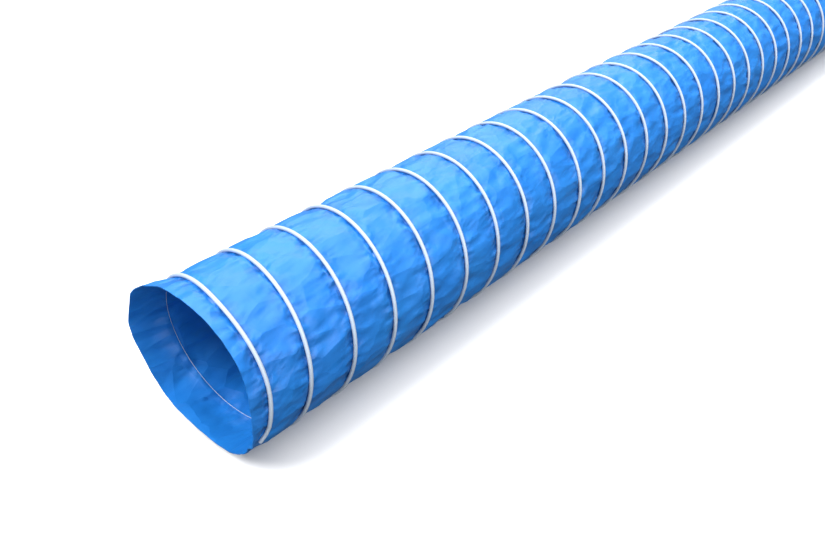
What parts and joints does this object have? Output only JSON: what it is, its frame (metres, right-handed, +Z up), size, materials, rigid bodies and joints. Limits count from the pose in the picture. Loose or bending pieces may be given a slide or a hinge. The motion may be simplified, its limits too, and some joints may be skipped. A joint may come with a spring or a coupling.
{
  "type": "ventilation hose",
  "caption": "Straight length of flexible ventilation hose: a round tube of blue coated fabric with a stiff pale profile wound outside it in one spiral, open at both cut ends.",
  "frame": {"origin": "on the floor below the middle of the hose's length", "axes": "+X along the hose from its near mouth to its far end, +Z up"},
  "size_m": [3, 0.2106, 0.2106],
  "materials": {
    "coated_fabric": "soft sheen, coated weave",
    "pale_plastic": "satin"
  },
  "bodies": {
    "root": {"fabric_tube": "coated_fabric", "spiral_profile": "pale_plastic"}
  },
  "joints": []
}
